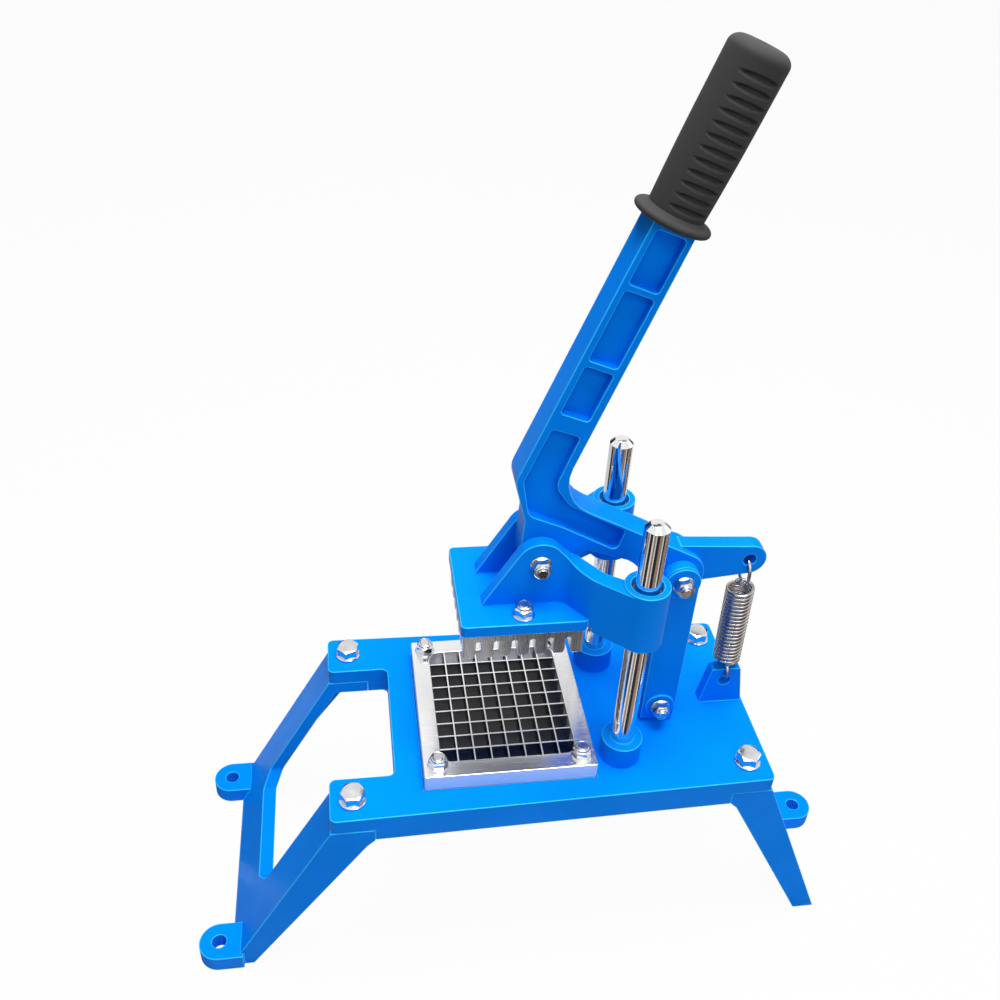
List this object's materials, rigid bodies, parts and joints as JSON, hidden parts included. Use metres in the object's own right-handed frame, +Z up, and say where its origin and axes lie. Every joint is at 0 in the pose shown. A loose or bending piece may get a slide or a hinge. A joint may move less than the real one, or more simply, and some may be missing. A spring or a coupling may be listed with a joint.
{
  "type": "vegetable dicer",
  "caption": "Hand-lever vegetable dicer: a pegged pusher rides two guide rods and presses food through a square blade grid in a four-legged plate, with a return spring.",
  "frame": {"origin": "on the bench surface, under the centre of the overall box", "axes": "+Z up; +X from the front notch, where the dice fall, towards the return spring; +Y to the far side of the machine"},
  "size_m": [0.4336, 0.1564, 0.5437],
  "materials": {
    "blue_paint": "semi-gloss powder coat on castings",
    "zinc": "bright zinc-plated fasteners",
    "rod_chrome": "ground and hard-chromed",
    "ground_steel": "surface-ground stainless steel",
    "blade_steel": "stainless strip",
    "spring_steel": "drawn spring wire",
    "bronze": "turned bearing bronze",
    "black_rubber": "moulded grip"
  },
  "bodies": {
    "base": {"base_plate": "blue_paint", "front_leg": "blue_paint", "rear_leg": "blue_paint", "leg_bolts": "zinc", "leg_washers": "zinc", "leg_nuts": "zinc", "guide_rods": "rod_chrome", "rod_washers": "zinc", "rod_nuts": "zinc", "cutter_frame": "ground_steel", "lengthwise_blades": "blade_steel", "crosswise_blades": "blade_steel", "frame_studs": "zinc", "frame_washers": "zinc", "frame_nuts": "zinc", "lug_bolt": "zinc", "lug_washers": "zinc", "lug_nut": "zinc"},
    "link": {"links": "blue_paint", "link_bolt": "zinc", "link_washers": "zinc", "link_nut": "zinc"},
    "lever": {"lever": "blue_paint", "handle_grip": "black_rubber"},
    "carriage": {"carriage": "blue_paint", "guide_bushes": "bronze", "pusher_block": "ground_steel", "pusher_studs": "zinc", "pusher_washers": "zinc", "pusher_nuts": "zinc", "lever_bolt": "zinc", "lever_washers": "zinc", "lever_nut": "zinc"},
    "spring": {"spring_lower_hook": "spring_steel", "return_spring": "spring_steel"},
    "spring_end": {"spring_upper_hook": "spring_steel"}
  },
  "joints": [
    {"name": "link_swing", "type": "hinge", "parent": "base", "child": "link", "pos_m": [0.07815, 0, 0.149], "axis": [0, -1, 0], "range_deg": [0, 11.2]},
    {"name": "lever_swing", "type": "hinge", "parent": "link", "child": "lever", "pos_m": [0.07815, 0, 0.2497], "axis": [0, -1, 0], "range_deg": [0, 45], "stiffness_Nm_per_rad": 4, "springref_deg": -45.84},
    {"name": "carriage_slide", "type": "slide", "parent": "base", "child": "carriage", "axis": [0, 0, -1], "range_m": [0, 0.0801]},
    {"name": "spring_swing", "type": "hinge", "parent": "base", "child": "spring", "pos_m": [0.12485, 0, 0.153], "axis": [0, -1, 0], "range_deg": [0, 17]},
    {"name": "spring_stretch", "type": "slide", "parent": "spring", "child": "spring_end", "axis": [-0.0276, 0, 0.9996], "range_m": [0, 0.0434], "deforming": ["return_spring"]}
  ],
  "couplings": [
    {"joint": "link_swing", "follows": "lever_swing", "ratio": 0.247},
    {"joint": "carriage_slide", "follows": "lever_swing", "m_per_rad": 0.10186},
    {"joint": "spring_swing", "follows": "lever_swing", "ratio": 0.375},
    {"joint": "spring_stretch", "follows": "lever_swing", "m_per_rad": 0.055}
  ]
}
